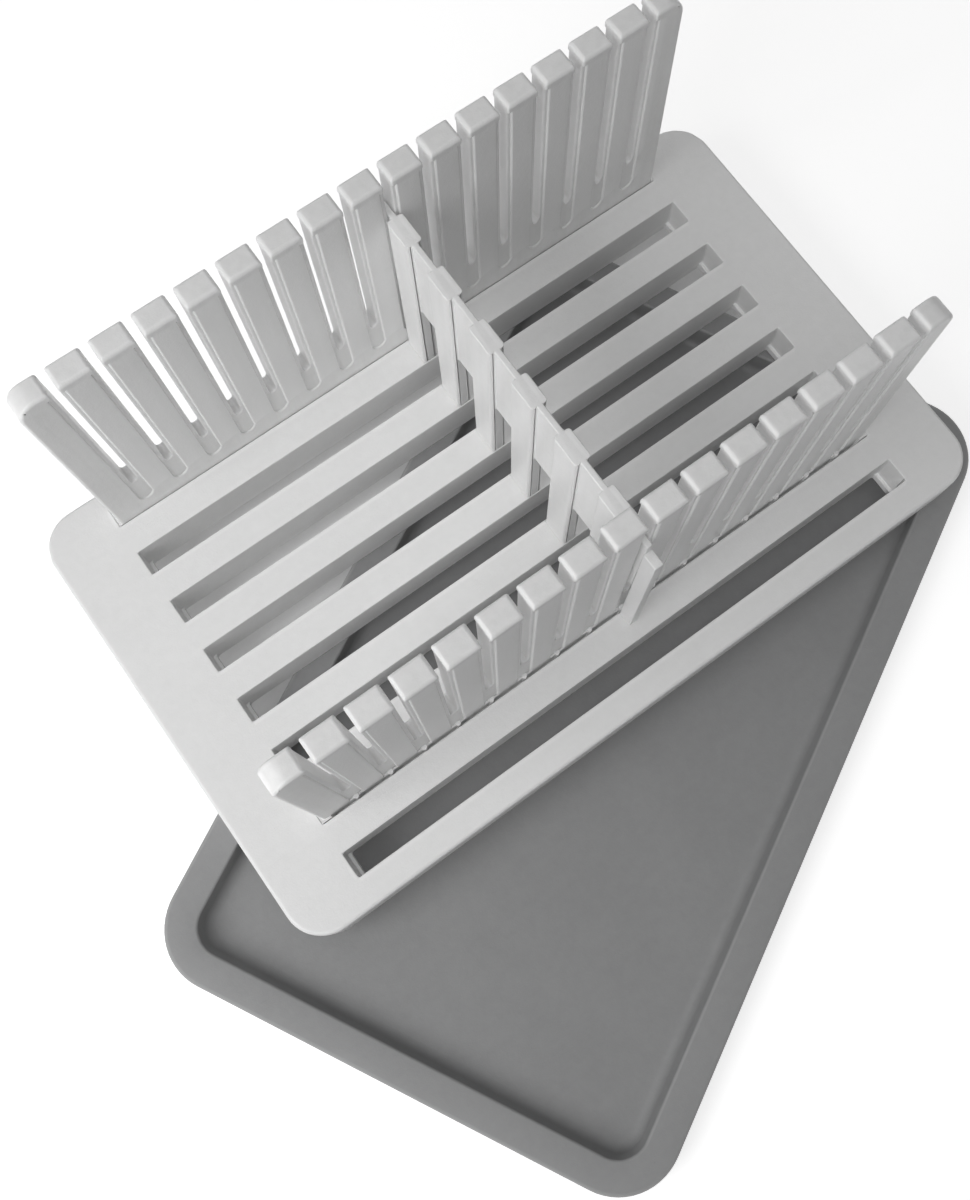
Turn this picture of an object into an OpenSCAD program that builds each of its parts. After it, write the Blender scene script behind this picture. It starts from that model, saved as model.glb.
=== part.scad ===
// Slicing guide: two slotted guide walls and a comb divider
// stand on a slotted board, which lies across a shallow tray.
// Millimetres, +Z up. The origin is the centre of the tray's underside,
// and +X runs along the guide walls.

/* [Slicing] */
// Distance from one knife slit to the next, the thickness of one slice
slice_pitch = 15; // [8:0.5:20]
// Number of knife slits in each guide wall
slit_count = 16; // [6:1:20]
// Width of a knife slit
slit_w = 3; // [2.8:0.1:5]
// Height of the slit bottoms above the board
sill_h = 23; // [10:0.5:40]

/* [Guide walls] */
// Thickness of a guide wall
wall_t = 9; // [7:0.5:12]
// Height of a guide wall above the board
wall_h = 102; // [95:1:140]
// Radius of the outer top corner of the two end teeth
end_corner_r = 7; // [3:0.5:9]
// Radius of the other tooth tips, the lead-in for the knife
tip_r = 1.6; // [0.4:0.1:2]
// How much longer the foot is than the toothed top, at each end
end_taper = 1.2; // [0:0.1:3]
// Width of the shallow groove around each slit
groove_w = 5.8; // [4.6:0.1:8]
// Depth of the shallow groove in each face
groove_depth = 0.8; // [0.3:0.1:1.5]
// Height above the board where the inner grooves end
groove_foot = 7.5; // [5:0.5:15]
// Distance from the tooth tips down to the upper end of the grooves
groove_top = 3.5; // [2:0.5:10]
// Radius of the upright locating ribs on the tongue's outer side
nub_r = 1.8; // [1:0.1:2.4]
// How far the locating ribs show above the board
nub_top = 1.6; // [0.5:0.1:4]

/* [Board] */
// Length of the board along the walls
board_l = 313; // [285:1:360]
// Width of the board across the walls
board_w = 189; // [185:1:230]
// Height of the board
board_h = 18; // [14:0.5:26]
// Plan radius of the board corners
board_corner_r = 15; // [6:0.5:30]
// Radius along the top edge of the board
board_edge_r = 1.6; // [0.6:0.1:2.4]
// Thickness of the board's top plate
plate_t = 3; // [2:0.1:5]
// Thickness of the board's skirt
skirt_t = 2.5; // [1.5:0.1:4]
// Number of slots across the board
slot_count = 8; // [8:1:8]
// Distance from one slot to the next
slot_pitch = 23; // [21:0.5:24]
// Plan radius of the slot corners
slot_corner_r = 1; // [0.4:0.1:2]
// Thickness of the sleeve round each slot, under the plate
sleeve_t = 2; // [1.2:0.1:3]
// How far the slots are shifted from the middle of the board, away
// from the near edge
slot_shift = 2.8; // [0:0.1:4]
// Height of the seats at the slot ends that carry a wall
seat_h = 3.5; // [2:0.1:6]
// Length of the seats at the slot ends
seat_l = 2.2; // [1.8:0.1:6]
// Number of cross ribs under the board
rib_count = 5; // [2:1:9]
// Thickness of the cross ribs
rib_t = 1.8; // [1:0.1:3]
// Height of the cross ribs below the plate
rib_h = 9; // [4:0.5:12]

/* [Divider] */
// Height of the divider above the board
divider_h = 84; // [70:1:94]
// Thickness of the divider's plate
web_t = 2.3; // [1.6:0.1:2.3]
// Width of a divider post, across the plate
post_w = 6.5; // [5:0.1:8]
// Plan radius of the post corners
post_corner_r = 1.6; // [0.4:0.1:1.7]
// Length of the plate that is left free for a wall between two posts
neck_l = 11; // [11:0.1:14]
// Length of the tab outside each wall, along the plate
tab_l = 6; // [3:0.1:9]
// Width of the tabs, across the plate
tab_w = 3.6; // [3:0.1:6]
// How far the tabs end below the divider's top
tab_drop = 6; // [0:0.5:12]
// Radius in the upper corners of the notches over the walls
notch_r = 2; // [0.5:0.1:5]

/* [Tray] */
// Length of the tray
tray_l = 332; // [320:1:380]
// Width of the tray
tray_w = 206; // [195:1:240]
// Height of the tray
tray_h = 12; // [9:0.5:20]
// Plan radius of the tray corners
tray_corner_r = 24; // [16:0.5:34]
// Radius along the tray's upper edge
tray_edge_r = 1.6; // [0.6:0.1:2.2]
// Width of the flat rim
rim_w = 12.5; // [8:0.5:18]
// Run of the sloping side between rim and floor
slope_run = 1.4; // [0.8:0.1:6]
// Thickness of the tray's floor
floor_t = 2.4; // [1.6:0.1:4]
// Thickness of the tray's rim and sides
tray_wall_t = 2.4; // [1.6:0.1:3.5]
// Angle of the tray under the board, in degrees
tray_turn = 28; // [0:1:45]
// Place of the board's middle over the tray, along the walls
board_x = 15.6; // [-20:0.1:30]
// Place of the board's middle over the tray, across the walls
board_y = 70.7; // [0:0.1:85]

/* [Fits] */
// Clearance between pieces that lie on each other
rest_gap = 0.3; // [0.2:0.05:0.6]
// Clearance between a locating rib and the slot's side
rib_gap = 0.3; // [0.2:0.05:0.5]
// Clearance between a wall's side and the slot's side
side_gap = 0.75; // [0.7:0.05:1]
// How far a wall stands off its slot's middle, towards the other wall
wall_lean = 0.45; // [0:0.05:0.45]
// Clearance between a wall's foot and each slot end
end_gap = 1; // [0.4:0.1:2]
// How far a wall rises to leave its slot
wall_travel = 16; // [8:0.5:20]
// Extra height of the divider's notches over a raised wall
notch_gap = 1; // [0.5:0.1:3]

/* [Hidden] */
$fn = 64;
// Length by which a cut reaches past a face
over = wall_t / 9;
tooth_w = slice_pitch - slit_w;
wall_l = slit_count * slice_pitch + tooth_w;
foot_l = wall_l + 2 * end_taper;
first_slit_x = tooth_w + slit_w / 2 - wall_l / 2;
slot_w = wall_t + 2 * side_gap;
slot_l = foot_l + 2 * end_gap;
tongue_h = board_h - seat_h - rest_gap;
board_z = tray_h + rest_gap;
deck_z = board_z + board_h;
first_slot_y = slot_shift - (slot_count - 1) * slot_pitch / 2;
near_wall_y = first_slot_y + slot_pitch;
far_wall_y = first_slot_y + (slot_count - 1) * slot_pitch;
groove_r = groove_w / 2;
divider_slit = floor(slit_count / 2);
divider_x = first_slit_x + divider_slit * slice_pitch;
post_l = slot_pitch - neck_l;
notch_h = sill_h + wall_travel + notch_gap;
tray_in_l = tray_l - 2 * rim_w;
tray_in_w = tray_w - 2 * rim_w;
tray_in_r = tray_corner_r - rim_w;
slope = slope_run / (tray_h - floor_t);
rib_step = slot_l / (rib_count + 1);

// Flat outline with rounded corners, centred
module round_rect(l, w, r) {
  square([l - 2 * r, w], center = true);
  square([l, w - 2 * r], center = true);
  for (sx = [-1, 1])
    for (sy = [-1, 1])
      translate([sx * (l / 2 - r), sy * (w / 2 - r)])
        circle(r);
}

// Half of an upright section whose outer upper corner is rounded
module edge_profile(half, h, edge) {
  square([half, h - edge]);
  square([half - edge, h]);
  translate([half - edge, h - edge])
    circle(edge);
}

// Full section for the straight sides of a slab
module side_profile(half, h, edge) {
  edge_profile(half, h, edge);
  mirror([1, 0])
    edge_profile(half, h, edge);
}

// Slab with rounded corners in plan and a rounded upper edge
module soft_slab(l, w, h, r, edge) {
  rotate([90, 0, 90])
    linear_extrude(l - 2 * r, center = true)
      side_profile(w / 2, h, edge);
  rotate([90, 0, 0])
    linear_extrude(w - 2 * r, center = true)
      side_profile(l / 2, h, edge);
  for (sx = [-1, 1])
    for (sy = [-1, 1])
      translate([sx * (l / 2 - r), sy * (w / 2 - r), 0])
        rotate_extrude()
          edge_profile(r, h, edge);
}

// Section across a basin that widens upwards at the tray's slope
module basin_profile(half, z_low, z_high) {
  low = half - slope * (tray_h - z_low);
  high = half - slope * (tray_h - z_high);
  polygon([[-low, z_low], [low, z_low], [high, z_high], [-high, z_high]]);
}

// Basin inside the rim, from one height to the other
module basin(z_low, z_high) {
  straight_l = tray_in_l - 2 * tray_in_r;
  straight_w = tray_in_w - 2 * tray_in_r;
  rotate([90, 0, 90])
    linear_extrude(straight_l, center = true)
      basin_profile(tray_in_w / 2, z_low, z_high);
  rotate([90, 0, 0])
    linear_extrude(straight_w, center = true)
      basin_profile(tray_in_l / 2, z_low, z_high);
  for (sx = [-1, 1])
    for (sy = [-1, 1])
      translate([sx * straight_l / 2, sy * straight_w / 2, z_low])
        cylinder(
          h = z_high - z_low,
          r1 = tray_in_r - slope * (tray_h - z_low),
          r2 = tray_in_r - slope * (tray_h - z_high)
        );
}

// Hollow under the rim, between the skirt and the basin's sides
module rim_hollow() {
  translate([0, 0, -over])
    linear_extrude(tray_h - tray_wall_t + over)
      difference() {
        round_rect(
          tray_l - 2 * tray_wall_t,
          tray_w - 2 * tray_wall_t,
          tray_corner_r - tray_wall_t
        );
        round_rect(
          tray_in_l + 2 * tray_wall_t,
          tray_in_w + 2 * tray_wall_t,
          tray_in_r + tray_wall_t
        );
      }
}

module tray() {
  color([0.56, 0.57, 0.58])
    rotate([0, 0, tray_turn])
      difference() {
        soft_slab(tray_l, tray_w, tray_h, tray_corner_r, tray_edge_r);
        basin(floor_t, tray_h + over);
        rim_hollow();
      }
}

// One outline in every slot's place
module each_slot(l, w, r) {
  for (i = [0 : slot_count - 1])
    translate([0, first_slot_y + i * slot_pitch])
      round_rect(l, w, r);
}

// Skirt and plate, open below
module board_shell() {
  difference() {
    soft_slab(board_l, board_w, board_h, board_corner_r, board_edge_r);
    translate([0, 0, -over])
      linear_extrude(board_h - plate_t + over)
        round_rect(
          board_l - 2 * skirt_t,
          board_w - 2 * skirt_t,
          board_corner_r - skirt_t
        );
  }
}

// Cross ribs that tie the sleeves and the skirt together
module board_ribs() {
  for (i = [1 : rib_count])
    translate([i * rib_step - slot_l / 2, 0, board_h - plate_t - rib_h / 2])
      cube([rib_t, board_w - skirt_t, rib_h + plate_t], center = true);
}

module board() {
  color([0.93, 0.93, 0.92])
    translate([board_x, board_y, board_z])
      difference() {
        union() {
          board_shell();
          board_ribs();
          linear_extrude(board_h - plate_t / 2)
            each_slot(
              slot_l + 2 * sleeve_t,
              slot_w + 2 * sleeve_t,
              slot_corner_r + sleeve_t
            );
        }
        translate([0, 0, seat_h])
          linear_extrude(board_h)
            each_slot(slot_l, slot_w, slot_corner_r);
        translate([0, 0, -over])
          linear_extrude(board_h)
            each_slot(slot_l - 2 * seat_l, slot_w, slot_corner_r);
      }
}

// Side view of a wall before the slits: long foot, rounded end teeth
module wall_blank() {
  top_half = wall_l / 2;
  foot_half = foot_l / 2;
  corner_z = wall_h - end_corner_r;
  corner_x = top_half - end_corner_r;
  polygon([
    [-foot_half, 0],
    [foot_half, 0],
    [top_half, corner_z],
    [-top_half, corner_z]
  ]);
  translate([-foot_half, -tongue_h])
    square([foot_l, tongue_h]);
  translate([-corner_x, 0])
    square([2 * corner_x, wall_h]);
  for (sx = [-1, 1])
    translate([sx * corner_x, corner_z])
      circle(end_corner_r);
}

// Side view of one knife slit, with a round bottom and a rounded mouth
module slit_outline() {
  translate([0, sill_h + slit_w / 2])
    circle(slit_w / 2);
  translate([-slit_w / 2, sill_h + slit_w / 2])
    square([slit_w, wall_h]);
  for (sx = [-1, 1])
    translate([sx * (slit_w / 2 + tip_r), wall_h - tip_r])
      difference() {
        translate([-tip_r, 0])
          square([2 * tip_r, tip_r + over]);
        circle(tip_r);
        translate([sx > 0 ? 0 : -2 * tip_r, -over])
          square([2 * tip_r, tip_r + 3 * over]);
      }
}

// Side view of the grooves around the slits, round at the lower end and
// ending below the tooth tips
module groove_outline(low) {
  for (i = [0 : slit_count - 1])
    translate([first_slit_x + i * slice_pitch, low + groove_r]) {
      circle(groove_r);
      translate([-groove_r, 0])
        square([groove_w, wall_h - groove_top - low - groove_r]);
    }
}

// A guide wall standing on z = 0, with its outer face towards -Y
module guide_wall() {
  cut_y = wall_t / 2 - groove_depth;
  nub_y = wall_t / 2 + side_gap + wall_lean - rib_gap - nub_r;
  difference() {
    rotate([90, 0, 0])
      linear_extrude(wall_t, center = true)
        difference() {
          wall_blank();
          for (i = [0 : slit_count - 1])
            translate([first_slit_x + i * slice_pitch, 0])
              slit_outline();
        }
    translate([0, -cut_y, 0])
      rotate([90, 0, 0])
        linear_extrude(groove_depth + over)
          groove_outline(0);
    translate([0, cut_y + groove_depth + over, 0])
      rotate([90, 0, 0])
        linear_extrude(groove_depth + over)
          groove_outline(groove_foot);
  }
  for (i = [0 : slit_count - 1])
    translate([first_slit_x + i * slice_pitch, -nub_y, -tongue_h])
      cylinder(h = tongue_h + nub_top, r = nub_r);
}

module near_wall() {
  color([0.95, 0.95, 0.94])
    translate([board_x, board_y + near_wall_y + wall_lean, deck_z])
      guide_wall();
}

module far_wall() {
  color([0.95, 0.95, 0.94])
    translate([board_x, board_y + far_wall_y - wall_lean, deck_z])
      rotate([0, 0, 180])
        guide_wall();
}

// Side view of the divider's plate, seen along the walls
module web_outline() {
  near_end = near_wall_y - neck_l / 2 - tab_l;
  far_end = far_wall_y + neck_l / 2 + tab_l;
  difference() {
    union() {
      translate([near_end, 0])
        square([far_end - near_end, divider_h - tab_drop]);
      translate([near_end + tab_l, 0])
        square([far_end - near_end - 2 * tab_l, divider_h]);
    }
    for (y = [near_wall_y : slot_pitch : far_wall_y])
      translate([y, 0])
        notch_outline();
  }
}

// Side view of a notch that lets a wall stand under the plate
module notch_outline() {
  corner_x = neck_l / 2 - notch_r;
  translate([-neck_l / 2, -over])
    square([neck_l, notch_h - notch_r + over]);
  translate([-corner_x, 0])
    square([2 * corner_x, notch_h]);
  for (sx = [-1, 1])
    translate([sx * corner_x, notch_h - notch_r])
      circle(notch_r);
}

module divider() {
  color([0.96, 0.96, 0.95])
    translate([board_x + divider_x, board_y, deck_z + rest_gap]) {
      rotate([90, 0, 90])
        linear_extrude(web_t, center = true)
          web_outline();
      for (y = [near_wall_y : slot_pitch : far_wall_y - slot_pitch])
        translate([0, y + slot_pitch / 2, 0])
          linear_extrude(divider_h)
            round_rect(post_w, post_l, post_corner_r);
      for (y = [near_wall_y - (neck_l + tab_l) / 2,
                far_wall_y + (neck_l + tab_l) / 2])
        translate([0, y, 0])
          linear_extrude(divider_h - tab_drop)
            round_rect(tab_w, tab_l, post_corner_r);
    }
}

tray();
board();
near_wall();
far_wall();
divider();
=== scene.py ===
"""Slicing guide: a slotted board with two toothed walls and a comb divider, on a grey tray.

Each piece is a block of cells on a bent grid, or a profile carried round a
rounded rectangle. Lengths inside the makers are in millimetres, measured from
the piece's own middle, and become metres when the piece is placed. The walls
stand along X, their inner faces towards each other, and the board lies on the
tray's rim.
"""

import math

import bpy
import numpy as np
from mathutils import Matrix, Vector


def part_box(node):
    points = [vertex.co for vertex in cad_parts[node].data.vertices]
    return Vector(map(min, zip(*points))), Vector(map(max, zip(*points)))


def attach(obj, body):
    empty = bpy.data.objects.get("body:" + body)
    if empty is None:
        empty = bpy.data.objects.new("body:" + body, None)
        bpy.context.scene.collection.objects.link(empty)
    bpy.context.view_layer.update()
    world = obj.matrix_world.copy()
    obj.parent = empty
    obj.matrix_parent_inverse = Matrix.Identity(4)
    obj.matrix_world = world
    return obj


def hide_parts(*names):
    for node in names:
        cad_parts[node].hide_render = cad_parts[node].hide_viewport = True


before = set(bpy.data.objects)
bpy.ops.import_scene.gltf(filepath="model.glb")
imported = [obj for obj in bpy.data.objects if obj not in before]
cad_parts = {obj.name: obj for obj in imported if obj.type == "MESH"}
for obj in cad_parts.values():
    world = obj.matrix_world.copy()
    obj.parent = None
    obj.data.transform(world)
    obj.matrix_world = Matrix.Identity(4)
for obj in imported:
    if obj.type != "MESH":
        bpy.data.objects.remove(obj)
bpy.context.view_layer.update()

MM = 0.001

# Driving sizes of the walls, in millimetres
SLICE_PITCH = 15.0  # from one knife slit to the next
SLIT_COUNT = 16
SLIT_W = 3.0
SILL_H = 23.0
WALL_T = 9.0
WALL_H = 102.0
END_CORNER_R = 7.0
END_TAPER = 1.2
GROOVE_W = 5.8
GROOVE_DEPTH = 0.8
GROOVE_FOOT = 7.5
GROOVE_TOP = 3.5
TONGUE_H = 14.2  # the part below the deck, in the board's slot
TIP_R = 1.6
# The nub under each slit, and how far its sides stand off the wall's face
NUB_W = 2.0
NUB_OUT = 0.9
NUB_SIDE_OUT = 0.12
NUB_TOP = 1.6
# The foot inside the slot: its top's depth, its reach past the face and the ends
FOOT_DROP = 7.0
FOOT_OUT = 0.9
FOOT_END = 0.85
FOOT_END_DROP = 0.3
# Room for the edges' rounding: strips at the wall's ends, and beside a slit at a tip
END_STRIP = 1.9
TIP_STRIP_SHIFT = 1.2

# Driving sizes of the board
BOARD_L = 313.0
BOARD_W = 189.0
BOARD_H = 18.0
BOARD_CORNER_R = 15.0
PLATE_T = 3.0
SKIRT_T = 2.5
SLOT_COUNT = 8
SLOT_PITCH = 23.0
SLOT_SHIFT = 2.8
SLEEVE_T = 2.0
SEAT_H = 3.5  # the step at each slot's end that a wall rests on
SEAT_L = 1.4
RIB_COUNT = 5
RIB_T = 1.8
RIB_H = 9.0
SLOT_W = 10.5
SLOT_L = 256.4

BEND_LINES = (5.0, 7.3, 12.2)  # insets of lines that make the round corners smooth
SEAT_ROW, RIB_ROW = 1, 2  # rows of nodes at a seat's top and at a rib's underside

# Driving sizes of the divider
DIVIDER_H = 84.0
WEB_T = 2.3
POST_W = 6.5
NECK_L = 11.0  # between two posts
TAB_L = 6.0
TAB_W = 3.6
TAB_DROP = 6.0
NOTCH_H = 40.0

# Driving sizes of the tray
TRAY_L = 332.0
TRAY_W = 206.0
TRAY_H = 12.0
TRAY_CORNER_R = 24.0
RIM_W = 12.5
SLOPE_RUN = 1.4
FLOOR_STRIP = 6.0  # flat edge of the floor, drawn before its cap
FLOOR_T = 2.4
TRAY_WALL_T = 2.4
TRAY_TURN = 28.0

FIRST_SLOT_Y = SLOT_SHIFT - (SLOT_COUNT - 1) * SLOT_PITCH / 2
NEAR_WALL_Y = FIRST_SLOT_Y + SLOT_PITCH
FAR_WALL_Y = FIRST_SLOT_Y + (SLOT_COUNT - 1) * SLOT_PITCH


# ---------------------------------------------------------------- meshes


def cell_surface(nodes, solid):
    """Outer surface of a block of filled and empty cells on a bent grid.

    nodes has shape (nx+1, ny+1, nz+1, 3) and solid (nx, ny, nz). A quad stands
    wherever a filled cell meets an empty one, turned to face the empty side.
    """
    full = np.pad(solid.astype(np.int8), 1)
    index = np.arange(nodes[..., 0].size).reshape(nodes.shape[:3])
    quads = []
    for axis in range(3):
        step = np.diff(np.moveaxis(full, axis, 0), axis=0)[:, 1:-1, 1:-1]
        corner = np.moveaxis(index, axis, 0)
        ring = np.stack(
            [
                corner[:, :-1, :-1],
                corner[:, 1:, :-1],
                corner[:, 1:, 1:],
                corner[:, :-1, 1:],
            ],
            axis=-1,
        )
        ahead, behind = (step < 0, step > 0) if axis != 1 else (step > 0, step < 0)
        quads += [ring[ahead], ring[behind][:, ::-1]]
    used, corners = np.unique(np.concatenate(quads), return_inverse=True)
    return nodes.reshape(-1, 3)[used], corners.reshape(-1, 4).tolist()


def grid_nodes(x, y, z):
    """Nodes of a straight grid on three sorted lists of lines."""
    return np.stack(np.meshgrid(x, y, z, indexing="ij"), axis=-1).astype(float)


def bend_corners(first, second, half_first, half_second, radius):
    """Turns the square corners of a grid into round ones.

    In a corner square of side radius, the point at (u, v) moves to the distance
    max(u, v) from the square's inner corner, at 45 degrees times v / u below
    the diagonal and 90 degrees less 45 times u / v above it, so that nested
    squares become nested arcs.
    """
    u = (np.abs(first) - half_first + radius) / radius
    v = (np.abs(second) - half_second + radius) / radius
    inside = (u > 0) & (v > 0)
    reach = np.maximum(u, v)
    ratio = np.minimum(u, v) / np.where(reach > 0, reach, 1)
    angle = np.where(v <= u, ratio, 2 - ratio) * math.pi / 4
    round_u = half_first - radius + radius * reach * np.cos(angle)
    round_v = half_second - radius + radius * reach * np.sin(angle)
    return (
        np.where(inside, np.sign(first) * round_u, first),
        np.where(inside, np.sign(second) * round_v, second),
    )


def rounded_profile(points, radii, steps=5):
    """Polyline whose corners are replaced by arcs of the given radii.

    Each arc touches both legs at radius * tan(turn / 2) from the corner.
    """
    points = np.array(points, float)
    out = [points[:1]]
    for before, corner, after, radius in zip(points, points[1:], points[2:], radii):
        if radius == 0:
            out.append(corner[None])
            continue
        leg_in = (before - corner) / np.linalg.norm(before - corner)
        leg_out = (after - corner) / np.linalg.norm(after - corner)
        half = math.acos(float(leg_in @ leg_out)) / 2
        middle = (leg_in + leg_out) / np.linalg.norm(leg_in + leg_out)
        centre = corner + middle * radius / math.sin(half)
        start = corner + leg_in * radius / math.tan(half) - centre
        end = corner + leg_out * radius / math.tan(half) - centre
        share = np.linspace(0, 1, steps + 1)[:, None]
        sweep = math.pi - 2 * half
        arc = np.sin((1 - share) * sweep) * start + np.sin(share * sweep) * end
        out.append(centre + arc / math.sin(sweep))
    out.append(points[-1:])
    return np.concatenate(out)


def rounded_rings(profile, length, width, radius, steps=14):
    """Rings of a profile carried round a rounded rectangle.

    profile rows are (inset, height). Every ring is the rectangle drawn in by
    the inset, with its corner radius less by the same amount.
    """
    inset = profile[:, 0][:, None]
    height = profile[:, 1][:, None]
    quarter = np.linspace(0, math.pi / 2, steps + 1)
    turn = np.concatenate([quarter + k * math.pi / 2 for k in range(4)])[None]
    side_x = np.repeat([1, -1, -1, 1], steps + 1)[None]
    side_y = np.repeat([1, 1, -1, -1], steps + 1)[None]
    arc = radius - inset
    x = side_x * (length / 2 - radius) + arc * np.cos(turn)
    y = side_y * (width / 2 - radius) + arc * np.sin(turn)
    return np.stack([x, y, height + np.zeros_like(x)], axis=-1)


def ring_faces(count, size):
    """Quads between neighbouring closed rings, and a flat cap on the first and last."""
    row = np.arange(count - 1)[:, None] * size
    here = np.arange(size)[None]
    ahead = (here + 1) % size
    quads = np.stack([row + here, row + ahead, row + size + ahead, row + size + here], -1)
    first = list(range(size))[::-1]
    last = list(range((count - 1) * size, count * size))
    return quads.reshape(-1, 4).tolist() + [first, last]


def new_piece(name, verts_mm, faces, middle, node, material):
    """Makes a mesh piece in metres at its place, which stands for a CAD node on its body."""
    mesh = bpy.data.meshes.new(name)
    mesh.from_pydata((np.asarray(verts_mm) * MM + np.array(middle)).tolist(), [], faces)
    mesh.polygons.foreach_set("use_smooth", np.ones(len(mesh.polygons), bool))
    mesh.update()
    mesh.materials.append(material)
    piece = bpy.data.objects.new(name, mesh)
    bpy.context.collection.objects.link(piece)
    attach(piece, node + "_body")
    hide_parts(node)
    return piece


# Two faces meet in a sharp edge where the cosine of the turn is below this
SHARP_COSINE = 0.75


def edge_facts(mesh):
    """Middles, directions, sharpness and outward bend of a mesh's edges, as arrays.

    With face normals n and centres c of the two faces at an edge, the cosine
    of the turn is |n1 + n2| squared / 2 - 1, and the edge is an outward one
    where n1.c2 + n2.c1 is less than n1.c1 + n2.c2.
    """
    count = len(mesh.edges)
    ends = np.empty(2 * count, np.int32)
    mesh.edges.foreach_get("vertices", ends)
    place = np.empty(3 * len(mesh.vertices))
    mesh.vertices.foreach_get("co", place)
    ends = place.reshape(-1, 3)[ends.reshape(-1, 2)]
    normal = np.empty(3 * len(mesh.polygons))
    mesh.polygons.foreach_get("normal", normal)
    centre = np.empty(3 * len(mesh.polygons))
    mesh.polygons.foreach_get("center", centre)
    normal, centre = normal.reshape(-1, 3), centre.reshape(-1, 3)
    sides = np.empty(len(mesh.polygons), np.int32)
    mesh.polygons.foreach_get("loop_total", sides)
    edge_of = np.empty(len(mesh.loops), np.int32)
    mesh.loops.foreach_get("edge_index", edge_of)
    face_of = np.repeat(np.arange(len(mesh.polygons)), sides)
    met = np.bincount(edge_of, minlength=count)
    normals = np.zeros((count, 3))
    centres = np.zeros((count, 3))
    np.add.at(normals, edge_of, normal[face_of])
    np.add.at(centres, edge_of, centre[face_of])
    own = np.bincount(edge_of, (normal * centre).sum(1)[face_of], minlength=count)
    cosine = (normals**2).sum(1) / 2 - 1
    along = ends[:, 1] - ends[:, 0]
    along /= np.linalg.norm(along, axis=1)[:, None]
    return {
        "middle": ends.mean(1),
        "along": np.abs(along),
        "sharp": (met == 2) & (cosine < SHARP_COSINE),
        "outward": (normals * centres).sum(1) < 2 * own,
    }


def first_true(rules, default):
    """For each edge, the radius of the first rule (test, radius) whose test holds."""
    tests, radii = zip(*rules)
    return np.select(tests, radii, default)


def round_edges(piece, radius_of, middle, steps=3):
    """Rounds each sharp edge by its own radius in millimetres, given by radius_of."""
    facts = edge_facts(piece.data)
    local = (facts["middle"] - np.array(middle)) / MM
    radius = np.where(facts["sharp"], radius_of(local, facts["along"], facts["outward"]), 0)
    widest = float(radius.max())
    weight = piece.data.attributes.new("bevel_weight_edge", "FLOAT", "EDGE")
    weight.data.foreach_set("value", (radius / widest).astype(np.float32))
    rounding = piece.modifiers.new("edge_rounding", "BEVEL")
    rounding.limit_method = "WEIGHT"
    rounding.width = widest * MM
    rounding.segments = steps
    rounding.use_clamp_overlap = False
    rounding.harden_normals = True
    rounding.miter_outer = "MITER_SHARP"


# ---------------------------------------------------------------- materials


class Nodes:
    """A node tree, with one short call per node."""

    def __init__(self, owner):
        owner.use_nodes = True
        self.tree = owner.node_tree

    def add(self, kind, **inputs):
        """Adds a node; each value is linked when it is a socket, or else set."""
        node = self.tree.nodes.new(kind)
        for name, value in inputs.items():
            self.put(node, name.replace("_", " "), value)
        return node

    def put(self, node, key, value):
        """Links or sets one input of a node, by its name or number."""
        if isinstance(value, bpy.types.NodeSocket):
            self.tree.links.new(value, node.inputs[key])
        else:
            node.inputs[key].default_value = value

    def ramp(self, value, low, high, out_low, out_high):
        """Maps a value from one range to another."""
        node = self.add("ShaderNodeMapRange", Value=value)
        ends = {"From Min": low, "From Max": high, "To Min": out_low, "To Max": out_high}
        for name, item in ends.items():
            self.put(node, name, item)
        return node.outputs["Result"]

    def math(self, operation, first, second=0.0):
        """Result of one sum or product of two values."""
        node = self.add("ShaderNodeMath")
        node.operation = operation
        self.put(node, 0, first)
        self.put(node, 1, second)
        return node.outputs["Value"]

    def mix(self, share, first, second):
        """Colour between two colours."""
        node = self.add("ShaderNodeMix")
        node.data_type = "RGBA"
        factor, colour_a, colour_b, result = 0, 6, 7, 2
        self.put(node, factor, share)
        self.put(node, colour_a, first)
        self.put(node, colour_b, second)
        return node.outputs[result]

    def background_ray(self):
        """1 for a ray that shows the background, to the camera, mirrored or through glass."""
        rays = self.add("ShaderNodeLightPath").outputs
        bounced = self.math("MAXIMUM", rays["Is Glossy Ray"], rays["Is Transmission Ray"])
        return self.math("MAXIMUM", rays["Is Camera Ray"], bounced)


class SurfaceNodes(Nodes):
    """A new material's nodes: its shader, and patterns on the piece's own metres."""

    def __init__(self, name):
        self.material = bpy.data.materials.new(name)
        super().__init__(self.material)
        self.shader = self.tree.nodes["Principled BSDF"]
        self.place = self.add("ShaderNodeTexCoord").outputs["Object"]

    def noise(self, scale, detail=3.0, roughness=0.5):
        """Noise on the piece's own metres."""
        values = {"Scale": scale, "Detail": detail, "Roughness": roughness}
        return self.add("ShaderNodeTexNoise", Vector=self.place, **values).outputs["Fac"]

    def bump(self, height, distance, strength, under=None):
        """Bump of a height, laid over another bump."""
        values = {"Height": height, "Distance": distance, "Strength": strength}
        node = self.add("ShaderNodeBump", **values)
        if under is not None:
            self.put(node, "Normal", under)
        return node.outputs["Normal"]


def stretched(n, turns, scales):
    """Object coordinates turned and scaled by axis, which draws a noise out into streaks."""
    node = n.add("ShaderNodeMapping", Vector=n.place, Rotation=turns, Scale=scales)
    return node.outputs["Vector"]


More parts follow.
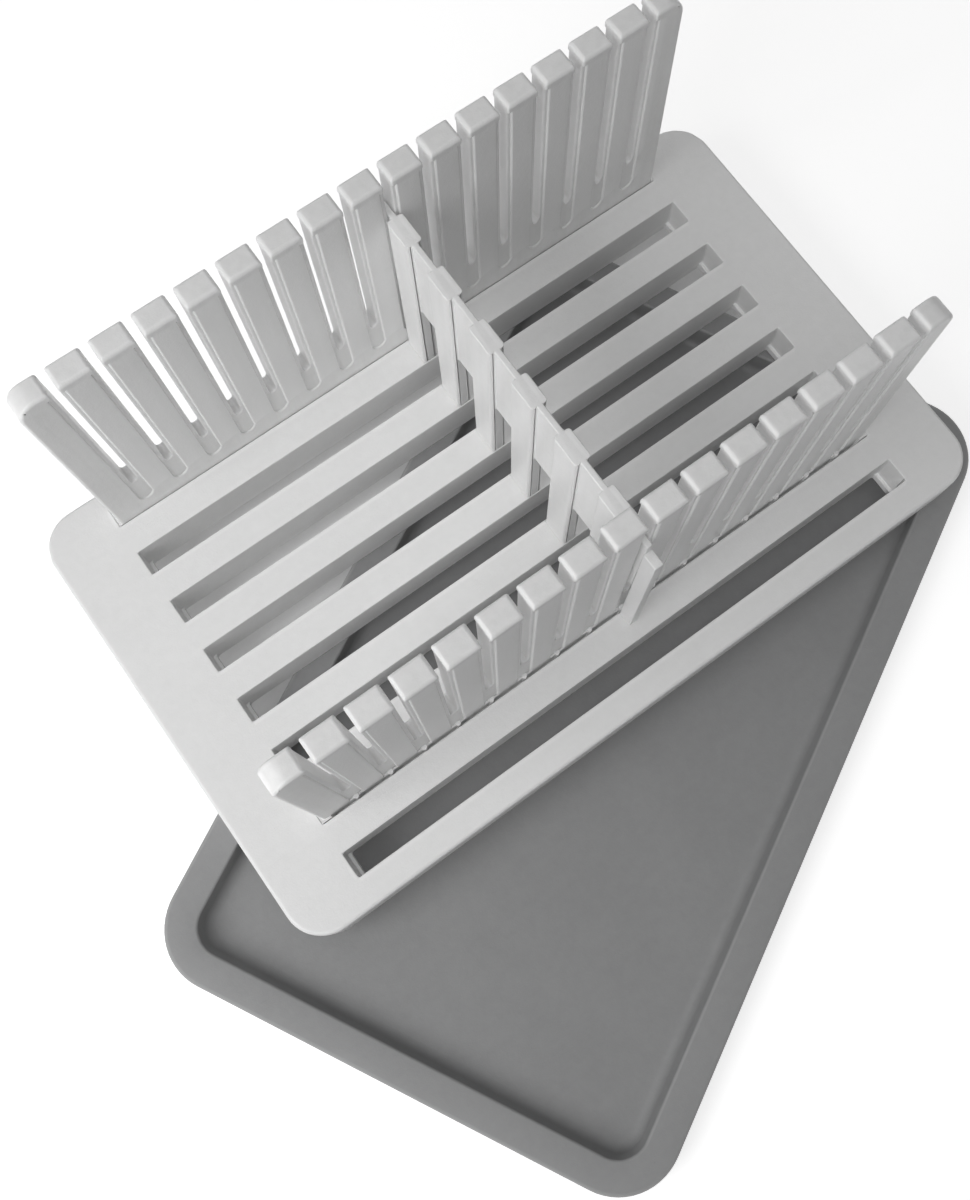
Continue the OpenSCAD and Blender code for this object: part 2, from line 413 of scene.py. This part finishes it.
def hairlines(n, turn, scale):
    """Mask of sparse fine scratches: thin bands of a streaky noise, kept in few patches."""
    lie = stretched(n, (0.15, 0.2, turn), (0.03, 1, 1))
    streak = n.add("ShaderNodeTexNoise", Vector=lie, Scale=scale, Detail=1.0).outputs["Fac"]
    thin = n.ramp(n.math("ABSOLUTE", n.math("SUBTRACT", streak, 0.56)), 0.0, 0.004, 1.0, 0.0)
    patch = n.ramp(n.noise(30.0, 2.0, 0.5), 0.55, 0.65, 0.0, 1.0)
    return n.math("MULTIPLY", thin, patch)


def moulded_plastic(name, colour, shade, roughness, grain, milk, wear, flow):
    """Injection-moulded plastic.

    Broad flow clouds, streaks drawn out along the flow and finer mottling vary
    the tone; outer edges are paler, partly as wear and partly as a painted
    highlight, the marked grooves and slits are paler as painted light, and inner
    corners are darker as painted shade; a leathery grain, low waves and hairline
    scratches break up the gloss. grain is (scale, depth), milk the share of light
    that scatters inside, wear the strength of the scratches, flow the axis that
    the streaks run along and their strength.
    """
    n = SurfaceNodes(name)
    cloud = n.ramp(n.noise(14.0, 4.0, 0.55), 0.35, 0.65, 0.0, 0.5)
    mottle = n.ramp(n.noise(260.0, 3.0, 0.6), 0.35, 0.7, 0.0, 0.4)
    drawn = stretched(n, (0, 0, 0), [0.04 if axis == flow[0] else 1 for axis in range(3)])
    streak = n.add("ShaderNodeTexNoise", Vector=drawn, Scale=330.0, Detail=2.0).outputs["Fac"]
    share = n.math("ADD", n.math("ADD", cloud, mottle), n.ramp(streak, 0.4, 0.65, 0.0, flow[1]))
    tone = n.mix(share, (*colour, 1), (*shade, 1))
    bend = n.add("ShaderNodeNewGeometry").outputs["Pointiness"]
    # Painted shade: inner corners, where the pointiness is low, are drawn darker.
    crease_shade = n.ramp(bend, 0.40, 0.49, 1.0, 0.0)
    tone = n.mix(n.math("MULTIPLY", crease_shade, 0.5), tone, (*[c * 0.8 for c in shade], 1))
    pale = [c + (1 - c) * 0.5 for c in colour]
    # Painted light: the marked grooves and slits are drawn pale, and outer edges are paler,
    # partly as wear and partly as a painted highlight.
    painted_groove_light = n.add("ShaderNodeAttribute")
    painted_groove_light.attribute_name = "painted_groove_light"
    wear_and_highlight = n.math("MAXIMUM", n.ramp(bend, 0.51, 0.57, 0.0, 0.8), painted_groove_light.outputs["Fac"])
    tone = n.mix(wear_and_highlight, tone, (*pale, 1))
    specks = n.ramp(n.noise(900.0, 2.0, 0.6), 0.70, 0.78, 0.0, 0.3)
    n.put(n.shader, "Base Color", n.mix(specks, tone, (*[c * 0.86 for c in shade], 1)))
    lines = n.math("MAXIMUM", hairlines(n, 0.6, 190.0), hairlines(n, -0.9, 240.0))
    rub = n.ramp(n.noise(45.0, 5.0, 0.7), 0.3, 0.7, roughness - 0.07, roughness + 0.09)
    n.put(n.shader, "Roughness", n.math("ADD", rub, n.math("MULTIPLY", lines, 0.15)))
    waves = n.bump(n.noise(28.0, 2.0, 0.4), 0.0006, 0.25)
    leather = n.bump(n.noise(grain[0], 3.0, 0.6), grain[1], 0.8, waves)
    fine = n.bump(n.noise(grain[0] * 3.1, 2.0, 0.5), grain[1] * 0.5, 0.8, leather)
    n.put(n.shader, "Normal", n.bump(n.math("MULTIPLY", lines, -1.0), 0.00004, wear, fine))
    n.shader.inputs["IOR"].default_value = 1.47
    n.shader.inputs["Specular IOR Level"].default_value = 0.42
    n.shader.inputs["Subsurface Weight"].default_value = milk
    n.shader.inputs["Subsurface Radius"].default_value = (1, 1, 1)
    n.shader.inputs["Subsurface Scale"].default_value = 0.0025
    return n.material


WALL_WHITE = moulded_plastic(
    "wall_plastic",
    colour=(0.91, 0.91, 0.908),
    shade=(0.85, 0.85, 0.847),
    roughness=0.36,
    grain=(520.0, 0.0001),
    milk=0.35,
    wear=0.5,
    flow=(2, 0.5),
)
BOARD_WHITE = moulded_plastic(
    "board_plastic",
    colour=(0.90, 0.90, 0.898),
    shade=(0.85, 0.85, 0.847),
    roughness=0.44,
    grain=(460.0, 0.0001),
    milk=0.25,
    wear=0.8,
    flow=(0, 0.08),
)
TRAY_GREY = moulded_plastic(
    "tray_plastic",
    colour=(0.29, 0.291, 0.293),
    shade=(0.255, 0.256, 0.258),
    roughness=0.52,
    grain=(700.0, 0.00008),
    milk=0.0,
    wear=0.6,
    flow=(0, 0.1),
)


# ---------------------------------------------------------------- guide walls


def wall_lines():
    """Lines along the wall, and for each the distance from its slit's middle.

    Each slit has lines at its edges, at the groove's edges and in between;
    the ends have lines across the rounded corner, and one out at the foot's end.
    """
    half = (SLIT_COUNT * SLICE_PITCH + SLICE_PITCH - SLIT_W) / 2
    first = SLICE_PITCH - SLIT_W / 2 - half
    slit, groove = SLIT_W / 2, GROOVE_W / 2
    near = np.array([slit / 3, slit * 2 / 3, slit, (slit + groove) / 2, groove])
    offset = np.concatenate([-near[::-1], [0], near])
    middles = first + SLICE_PITCH * np.arange(SLIT_COUNT)
    end = np.concatenate([[-FOOT_END], np.linspace(0, END_CORNER_R, 6)])
    x = np.concatenate(
        [-half + end, (middles[:, None] + offset).ravel(), half - end[::-1]]
    )
    far = np.full(len(end), np.inf)
    return x, np.concatenate([far, np.tile(offset, SLIT_COUNT), far]), half


# Rows of nodes up the wall: the foot's top, the deck, the nub's top, the inner
# groove's foot, the slit's sill and the grooves' top
FOOT_ROW, DECK_ROW, NUB_ROW, GROOVE_ROW, SILL_ROW, GROOVE_TOP_ROW = 1, 2, 3, 4, 6, 10
# Cells across the wall: nub or foot, outer groove, core, inner groove
NUB_CELL, OUTER_CELL, CORE_CELL, INNER_CELL = range(4)


def half_circle(steps, count, radius):
    """Places on a half circle, aside and up from its lowest point, for steps -count to count.

    Step k is at radius * sin(90 k / count) aside and radius * (1 - cos(90 k / count)) up.
    """
    angle = np.radians(90 * steps / count)
    return radius * np.sin(angle), radius * (1 - np.cos(angle))


def wall_rows():
    """Heights of the rows of nodes up the wall, over the deck."""
    corner_z = WALL_H - END_CORNER_R
    low = [-TONGUE_H, -FOOT_DROP, 0, NUB_TOP, GROOVE_FOOT, GROOVE_FOOT + 5, SILL_H, SILL_H + 5]
    high = [END_CORNER_R * 0.25, END_CORNER_R - GROOVE_TOP, END_CORNER_R * 0.75, END_CORNER_R]
    return np.array([*low, corner_z, *(corner_z + np.array(high))])


def wall_nodes(x, offset, half):
    """Nodes of a wall, its outer face towards -Y.

    Rows of nodes at a groove's foot and at a slit's sill are drawn into half
    circles. Inside the slot the foot steps out, and a nub rises from it under
    each slit, standing out by 1 - (2 * offset / width) squared. The upper end
    corners are bent round, and the ends lean out towards the deck.
    """
    face, floor = WALL_T / 2, WALL_T / 2 - GROOVE_DEPTH
    nodes = grid_nodes(x, [-face - NUB_OUT, -face, -floor, floor, face], wall_rows())
    side = np.abs(offset)
    slit, groove = SLIT_W / 2, GROOVE_W / 2
    step = np.sign(offset) * np.select(
        [side < slit * 0.5, side < slit * 0.9, side < slit * 1.1, side < groove * 0.9],
        [1, 2, 3, 4],
        5,
    )
    step[side < 0.01] = 0
    in_groove, in_slit = side < groove * 1.01, side < slit * 1.01
    middle = np.where(in_groove, x - np.where(in_groove, offset, 0), x)
    aside, up = half_circle(step[in_groove], 5, groove)
    nodes[in_groove, INNER_CELL:, GROOVE_ROW, 0] = (middle[in_groove] + aside)[:, None]
    nodes[in_groove, INNER_CELL:, GROOVE_ROW, 2] = (GROOVE_FOOT + up)[:, None]
    aside, up = half_circle(step[in_slit], 3, slit)
    nodes[in_slit, :, SILL_ROW, 0] = (middle[in_slit] + aside)[:, None]
    nodes[in_slit, :, SILL_ROW, 2] = (SILL_H + up)[:, None]
    beside = in_groove & ~in_slit
    nodes[beside, :, SILL_ROW, 2] = SILL_H + slit
    shift = np.where(beside, np.sign(offset), 0) * TIP_STRIP_SHIFT
    nodes[:, :, -2:, 0] += shift[:, None, None]

    # The lines of the grooves' floors draw in at the tips and at the wall's ends
    floors = slice(CORE_CELL, INNER_CELL + 1)
    nodes[:, floors, -2:, 1] *= (face - TIP_R - 0.1) / floor
    for ends in (nodes[:3], nodes[-3:]):
        ends[:, floors, :, 1] = np.array([[-1], [1]]) * (face - END_STRIP)
    # The foot reaches out below its top, which is higher at the wall's ends
    nodes[:, NUB_CELL, : FOOT_ROW + 1, 1] = -face - FOOT_OUT
    nodes[:4, :, FOOT_ROW, 2] = nodes[-4:, :, FOOT_ROW, 2] = -FOOT_END_DROP
    swell = np.clip(1 - (offset[in_slit] / (NUB_W / 2)) ** 2, 0, 1)
    stand_off = NUB_SIDE_OUT + (NUB_OUT - NUB_SIDE_OUT) * swell
    nodes[in_slit, NUB_CELL, DECK_ROW : NUB_ROW + 1, 1] = (-face - stand_off)[:, None]

    corner_z = WALL_H - END_CORNER_R
    bent = bend_corners(nodes[..., 0], nodes[..., 2], half, WALL_H, END_CORNER_R)
    upper = nodes[..., 2] > corner_z
    nodes[..., 0] = np.where(upper, bent[0], nodes[..., 0])
    nodes[..., 2] = np.where(upper, bent[1], nodes[..., 2])
    lean = np.clip((corner_z - nodes[..., 2]) / corner_z, 0, 1)
    outer = np.clip((np.abs(nodes[..., 0]) - half + END_CORNER_R) / END_CORNER_R, 0, 1)
    nodes[..., 0] += np.sign(nodes[..., 0]) * END_TAPER * lean * outer
    return nodes


def wall_cells(x, offset, rows):
    """Filled cells of a wall: the plate and its foot, less grooves and slits, and the nubs."""
    with np.errstate(invalid="ignore"):
        mid = np.abs((offset[:-1] + offset[1:]) / 2)
    mid = np.where(np.diff(x) > 5, np.inf, mid)
    slits, grooves, nubs = mid < SLIT_W / 2, mid < GROOVE_W / 2, mid < NUB_W / 2
    solid = np.zeros((len(x) - 1, INNER_CELL + 1, rows), bool)
    solid[:, OUTER_CELL:] = True
    solid[[0, -1]] = False
    solid[:, :, :FOOT_ROW] = True
    solid[np.ix_(grooves, [OUTER_CELL], range(DECK_ROW, GROOVE_TOP_ROW))] = False
    solid[np.ix_(grooves, [INNER_CELL], range(GROOVE_ROW, GROOVE_TOP_ROW))] = False
    solid[np.ix_(nubs, [NUB_CELL, OUTER_CELL], range(FOOT_ROW, NUB_ROW))] = True
    solid[slits, :, SILL_ROW:] = False
    return solid


def guide_wall_mesh():
    """Toothed wall as a bent grid of cells."""
    x, offset, half = wall_lines()
    nodes = wall_nodes(x, offset, half)
    return cell_surface(nodes, wall_cells(x, offset, nodes.shape[2] - 1))


def wall_edge_radius(middle, along, outward):
    """Soft tooth tips and ends, slightly rounded slit and groove edges, a crisp foot."""
    top = middle[:, 2] > WALL_H - 0.5
    tip = middle[:, 2] > WALL_H - GROOVE_TOP + 0.1
    end = np.abs(middle[:, 0]) > SLIT_COUNT * SLICE_PITCH / 2 + 4
    nub = np.abs(middle[:, 1]) > WALL_T / 2 + 0.05
    foot = middle[:, 2] < -0.2
    low = middle[:, 2] < NUB_TOP + 0.1
    rules = [
        (top, TIP_R - 0.1),
        (nub | foot, 0.1),
        (end & outward, 1.2),
        (low, 0.2),
        (tip & outward, 0.7),
    ]
    return first_true(rules, np.where(outward, 0.62, 0.15))


def mark_painted_groove_light(piece, verts):
    """Marks the grooves and slits that the material paints paler as painted light, as 1 on
    their points and 0 elsewhere.

    A point is in a groove where its distance along the wall from the nearest
    slit's middle is at most half a groove, it is not on the wall's face, and
    it is above the sill.
    """
    along = (verts[:, 0] + SLICE_PITCH * SLIT_COUNT / 2) % SLICE_PITCH - SLICE_PITCH / 2
    inside = (np.abs(along) < GROOVE_W / 2 + 0.1) & (np.abs(verts[:, 1]) < WALL_T / 2 - 0.1)
    painted_groove_light = piece.data.attributes.new("painted_groove_light", "FLOAT", "POINT")
    above = verts[:, 2] > SILL_H + SLIT_W
    # Painted light: these points are drawn paler in the wall's colour.
    painted_groove_light.data.foreach_set("value", (inside & above).astype(np.float32))


def make_walls():
    """Both guide walls: one mesh, turned half a turn for the far wall."""
    verts, faces = guide_wall_mesh()
    for node, turned in (("near_wall", 1), ("far_wall", -1)):
        low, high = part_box(node)
        inner = high.y if turned > 0 else low.y
        middle = ((low.x + high.x) / 2, inner - turned * WALL_T / 2 * MM, high.z - WALL_H * MM)
        placed = verts * np.array([turned, turned, 1])
        piece = new_piece(
            "toothed_" + node, placed, faces, middle, node, WALL_WHITE
        )
        # Painted light: the grooves and slits are marked to be drawn paler.
        mark_painted_groove_light(piece, verts)
        round_edges(piece, wall_edge_radius, middle)


# ---------------------------------------------------------------- board


def board_mesh():
    """Hollow board as a bent grid of cells: skirt, plate, slot sleeves, ribs.

    The four plan corners are bent round; the slots go right through and keep
    a low seat at each end.
    """
    half_l, half_w = BOARD_L / 2, BOARD_W / 2
    corner = np.linspace(0, BOARD_CORNER_R - SKIRT_T, 6)
    slot_end, seat = SLOT_L / 2, SLOT_L / 2 - SEAT_L
    ribs = (np.arange(1, RIB_COUNT + 1) / (RIB_COUNT + 1) - 0.5) * SLOT_L
    rib_lines = np.concatenate([ribs - RIB_T / 2, ribs + RIB_T / 2])
    one_side = np.concatenate(
        [[half_l], half_l - SKIRT_T - corner, [slot_end + SLEEVE_T, slot_end, seat]]
    )
    x = np.sort(np.concatenate([-one_side, rib_lines, one_side]))
    slots = FIRST_SLOT_Y + SLOT_PITCH * np.arange(SLOT_COUNT)
    cut, sleeve = SLOT_W / 2, SLOT_W / 2 + SLEEVE_T
    slot_lines = (slots[:, None] + np.array([-sleeve, -cut, cut, sleeve])).ravel()
    rim = half_w - np.array([0, SKIRT_T])
    extra = half_w - np.array([*BEND_LINES, BOARD_CORNER_R])
    y = np.concatenate([-rim, -extra, slot_lines, extra[[2, 3]], rim])
    y = np.unique(np.round(y, 3))
    z = np.array([0, SEAT_H, BOARD_H - PLATE_T - RIB_H, BOARD_H - PLATE_T, BOARD_H])
    nodes = grid_nodes(x, y, z)
    nodes[..., 0], nodes[..., 1] = bend_corners(
        nodes[..., 0], nodes[..., 1], half_l, half_w, BOARD_CORNER_R
    )
    mid_x, mid_y = (x[:-1] + x[1:]) / 2, (y[:-1] + y[1:]) / 2
    apart = np.abs(mid_y[:, None] - slots).min(1)
    along_slot = np.abs(mid_x) < slot_end
    shape = (len(x) - 1, len(y) - 1, len(z) - 1)
    solid = np.zeros(shape, bool)
    solid[:, :, -1] = True
    skirt = (np.abs(mid_x)[:, None] > half_l - SKIRT_T) | (
        np.abs(mid_y)[None] > half_w - SKIRT_T
    )
    solid[skirt] = True
    sleeves = (np.abs(mid_x) < slot_end + SLEEVE_T)[:, None] & (apart < sleeve)[None]
    solid[sleeves] = True
    rib_cells = np.abs(mid_x[:, None] - ribs).min(1) < RIB_T / 2
    solid[rib_cells, :, RIB_ROW:] = True
    cuts = along_slot[:, None] & (apart < cut)[None]
    ends = (np.abs(mid_x) > seat)[:, None]
    solid[cuts & ~ends] = False
    solid[cuts & ends, SEAT_ROW:] = False
    return cell_surface(nodes, solid)


def board_edge_radius(middle, along, outward):
    """Soft outer rim, softened slot lips, tight inner corners."""
    top = middle[:, 2] > BOARD_H - 0.1
    inner = np.abs(middle[:, 0]) < SLOT_L / 2 + 1
    inner &= np.abs(middle[:, 1]) < BOARD_W / 2 - 3
    upright = along[:, 2] > 0.9
    rules = [(top & ~inner, 1.6), (upright & inner, 0.9), (inner & top, 0.4)]
    return first_true(rules, 0.3)


def make_board():
    """The slotted board."""
    low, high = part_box("board")
    middle = ((low.x + high.x) / 2, (low.y + high.y) / 2, low.z)
    verts, faces = board_mesh()
    piece = new_piece(
        "slotted_board", verts, faces, middle, "board", BOARD_WHITE
    )
    round_edges(piece, board_edge_radius, middle)


# ---------------------------------------------------------------- divider


def divider_mesh():
    """Comb divider as cells: a thin web, posts between the necks, end tabs.

    Across it the cells are post, tab, web, tab, post, and upwards they end at
    the notches' top, the tabs' top and the divider's own. A neck is open up to
    the notches' top, so that the posts stand as legs.
    """
    necks = NEAR_WALL_Y + SLOT_PITCH * np.arange(SLOT_COUNT - 1)
    edge = NECK_L / 2
    near_end, far_end = necks[0] - edge - TAB_L, necks[-1] + edge + TAB_L
    y = np.sort(
        np.concatenate([[near_end], (necks[:, None] + [-edge, edge]).ravel(), [far_end]])
    )
    x = np.array([-POST_W, -TAB_W, -WEB_T, WEB_T, TAB_W, POST_W]) / 2
    z = np.array([0, NOTCH_H, DIVIDER_H - TAB_DROP, DIVIDER_H])
    mid_y = (y[:-1] + y[1:]) / 2
    neck = np.abs(mid_y[:, None] - necks).min(1) < edge
    tab = (mid_y < necks[0] - edge) | (mid_y > necks[-1] + edge)
    post = ~neck & ~tab
    solid = np.zeros((5, len(mid_y), 3), bool)
    solid[2] = True
    solid[:, post] = True
    solid[1:4, tab] = True
    solid[:, neck, 0] = False
    solid[:, tab, 2] = False
    return cell_surface(grid_nodes(x, y, z), solid)


def divider_edge_radius(middle, along, outward):
    """Round post corners, a soft top, small roundings elsewhere."""
    upright = along[:, 2] > 0.9
    post = np.abs(middle[:, 0]) > POST_W / 2 - 0.1
    top = middle[:, 2] > DIVIDER_H - TAB_DROP - 0.1
    rules = [(upright & post & outward, 1.6), (upright & ~outward, 0.6), (top & outward, 0.5)]
    return first_true(rules, 0.3)


def make_divider():
    """The comb divider."""
    low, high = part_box("divider")
    middle_y = (low.y + high.y) / 2 - (NEAR_WALL_Y + FAR_WALL_Y) / 2 * MM
    middle = ((low.x + high.x) / 2, middle_y, low.z)
    verts, faces = divider_mesh()
    piece = new_piece(
        "comb_divider", verts, faces, middle, "divider", WALL_WHITE
    )
    round_edges(piece, divider_edge_radius, middle)


# ---------------------------------------------------------------- tray


def make_tray():
    """Shallow tray: one profile from its underside over the rim to its floor.

    The profile's insets run from the hollow under the rim, out to the skirt,
    up over the rim and down the slope, and the result is turned about +Z.
    """
    low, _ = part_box("tray")
    under = RIM_W - TRAY_WALL_T
    ceiling = TRAY_H - TRAY_WALL_T
    slope_end = RIM_W + SLOPE_RUN
    points = [
        (slope_end + FLOOR_STRIP, 0),
        (under, 0),
        (under, ceiling),
        (TRAY_WALL_T, ceiling),
        (TRAY_WALL_T, 0),
        (0, 0),
        (0, TRAY_H),
        (RIM_W, TRAY_H),
        (slope_end, FLOOR_T),
        (slope_end + FLOOR_STRIP, FLOOR_T),
    ]
    radii = [0.6, 0.8, 0.8, 0.4, 0.6, 1.8, 1.2, 4.0]
    rings = rounded_rings(rounded_profile(points, radii), TRAY_L, TRAY_W, TRAY_CORNER_R)
    turn = math.radians(TRAY_TURN)
    spin = np.array(
        [[math.cos(turn), math.sin(turn), 0], [-math.sin(turn), math.cos(turn), 0], [0, 0, 1]]
    )
    verts = rings.reshape(-1, 3) @ spin
    faces = ring_faces(*rings.shape[:2])
    new_piece("crumb_tray", verts, faces, (0, 0, low.z), "tray", TRAY_GREY)


make_walls()
make_board()
make_divider()
make_tray()


# ---------------------------------------------------------------- studio

FLOOR_SIZE = 6.0
FLOOR_COLOUR = (0.86, 0.86, 0.86, 1)
FLOOR_GLOW = 0.55
ROOM_LOW = 0.08
ROOM_HIGH = 0.28


def make_floor():
    """Pale floor with a glow to the camera that fades where something stands close over it,
    which paints a shadow under and round the pieces.
    """
    n = SurfaceNodes("studio_floor")
    n.put(n.shader, "Base Color", FLOOR_COLOUR)
    n.shader.inputs["Roughness"].default_value = 0.8
    n.shader.inputs["Emission Color"].default_value = (1, 1, 1, 1)
    # Painted shadow: occlusion takes the glow away, so the floor darkens under and round the
    # pieces.
    open_sky = n.add("ShaderNodeAmbientOcclusion", Distance=0.08).outputs["AO"]
    glow = n.ramp(open_sky, 0.2, 0.45, 0, FLOOR_GLOW)
    n.put(n.shader, "Emission Strength", n.math("MULTIPLY", n.background_ray(), glow))
    half = FLOOR_SIZE / 2
    mesh = bpy.data.meshes.new("studio_floor")
    mesh.from_pydata(
        [(-half, -half, 0), (half, -half, 0), (half, half, 0), (-half, half, 0)],
        [],
        [(0, 1, 2, 3)],
    )
    mesh.materials.append(n.material)
    floor = bpy.data.objects.new("studio_floor", mesh)
    bpy.context.collection.objects.link(floor)


def new_lamp(name, kind, power, ahead, place=(0, 0, 0)):
    """Lamp at a place that shines ahead; its settings come back for more."""
    data = bpy.data.lights.new(name, kind)
    data.energy = power
    lamp = bpy.data.objects.new(name, data)
    lamp.location = place
    lamp.rotation_euler = Vector(ahead).to_track_quat("-Z", "Y").to_euler()
    bpy.context.collection.objects.link(lamp)
    return data


def soft_lamp(name, place, aim, size, power):
    """Square lamp at a place, turned towards a point, both in metres."""
    data = new_lamp(name, "AREA", power, Vector(aim) - Vector(place), place)
    data.shape = "SQUARE"
    data.size = size


def make_light():
    """Lamp at the left, a weak one above, a fill, and a room paler towards its ceiling.

    The room is white where the background shows. The fill is even light from
    one direction, without shadows, and reaches into slots and slits.
    """
    world = bpy.data.worlds.new("studio_room")
    bpy.context.scene.world = world
    n = Nodes(world)
    background = n.tree.nodes["Background"]
    n.put(background, "Color", (1, 1, 1, 1))
    heading = n.add("ShaderNodeTexCoord").outputs["Generated"]
    height = n.add("ShaderNodeSeparateXYZ", Vector=heading).outputs["Z"]
    dim = n.ramp(height, 0.0, 1.0, ROOM_LOW, ROOM_HIGH)
    n.put(background, "Strength", n.math("MAXIMUM", dim, n.background_ray()))
    soft_lamp("window_light", (-0.52, 0.02, 0.46), (0, 0.05, 0.05), 0.4, 1.9)
    soft_lamp("ceiling_light", (-0.1, 0.3, 1.9), (0, 0.05, 0), 1.4, 1.6)
    fill = new_lamp("room_fill", "SUN", 0.42, (0.5, 0.1, -0.85))
    fill.use_shadow = False


CAMERA_PLACE = (-0.07156, -0.04623, 0.45441)
CAMERA_AIM = (-0.00759, 0.02821, 0.0303)
CAMERA_ROLL = math.radians(36.689)
CAMERA_LENS = 43.026
FRAME_W, FRAME_H = 970, 1200
CAMERA_CENTRE = (530, 620)


def make_camera():
    """Camera over the near left corner, rolled so that the walls rise to the right.

    The roll turns the picture's up direction from +Y towards +X about the
    view direction.
    """
    data = bpy.data.cameras.new("photo_camera")
    data.sensor_fit = "HORIZONTAL"
    data.sensor_width = 36.0
    data.lens = CAMERA_LENS
    data.shift_x = (FRAME_W / 2 - CAMERA_CENTRE[0]) / FRAME_W
    data.shift_y = (CAMERA_CENTRE[1] - FRAME_H / 2) / FRAME_W
    data.clip_start = 0.01
    ahead = (Vector(CAMERA_AIM) - Vector(CAMERA_PLACE)).normalized()
    level_up = Vector((0, 1, 0)) - ahead * ahead.y
    up = Matrix.Rotation(CAMERA_ROLL, 3, ahead) @ level_up.normalized()
    right = ahead.cross(up)
    camera = bpy.data.objects.new("photo_camera", data)
    turned = Matrix((right, up, -ahead)).transposed().to_4x4()
    camera.matrix_world = Matrix.Translation(CAMERA_PLACE) @ turned
    bpy.context.collection.objects.link(camera)
    bpy.context.scene.camera = camera


make_floor()
make_light()
make_camera()
bpy.context.scene.view_settings.view_transform = "Standard"
